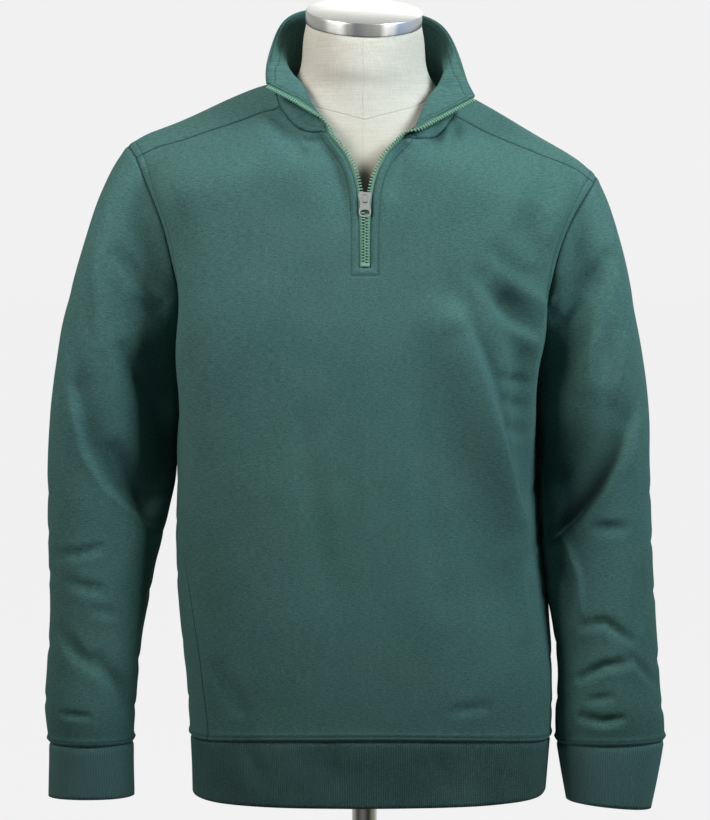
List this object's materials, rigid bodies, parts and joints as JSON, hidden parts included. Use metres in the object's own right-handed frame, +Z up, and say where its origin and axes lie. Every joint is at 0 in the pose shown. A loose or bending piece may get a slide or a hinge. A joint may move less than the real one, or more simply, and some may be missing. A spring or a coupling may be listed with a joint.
{
  "type": "quarter zip sweatshirt on dress form",
  "caption": "Long-sleeved pullover with a stand collar open at a short chest zip, worn on a limbless neck-and-torso form with a capped neck, on a pole and round base.",
  "frame": {"origin": "centre of the stand base's underside, on the pole's axis", "axes": "+Z up along the pole; -Y is the way the zip faces; +X is the wearer's left side"},
  "size_m": [0.6209, 0.33, 0.9951],
  "materials": {
    "green_fleece": "matte brushed knit, soft nap, deep heathered green",
    "green_rib": "matte rib knit, deep green",
    "zip_tape": "woven tape with coil teeth, light green",
    "zip_metal": "satin nickel plate",
    "form_linen": "plain-woven cream linen, stretched smooth",
    "brushed_steel": "brushed round the axis"
  },
  "bodies": {
    "sweatshirt_on_form": {"back": "green_fleece", "front": "green_fleece", "collar": "green_fleece", "collar_facing": "green_fleece", "sleeve_left": "green_fleece", "sleeve_right": "green_fleece", "cuff_left": "green_rib", "cuff_right": "green_rib", "hem_band": "green_rib", "zip_tape_left": "zip_tape", "zip_tape_right": "zip_tape", "zip_slider": "zip_metal", "form_torso": "form_linen", "neck_cap": "brushed_steel", "pole": "brushed_steel", "stand_base": "brushed_steel"},
    "pull_tab": {"zip_pull": "zip_metal"}
  },
  "joints": [
    {"name": "pull_hinge", "type": "hinge", "parent": "sweatshirt_on_form", "child": "pull_tab", "pos_m": [0, -0.11861, 0.79511], "axis": [-1, 0, 0], "range_deg": [0, 125]}
  ]
}
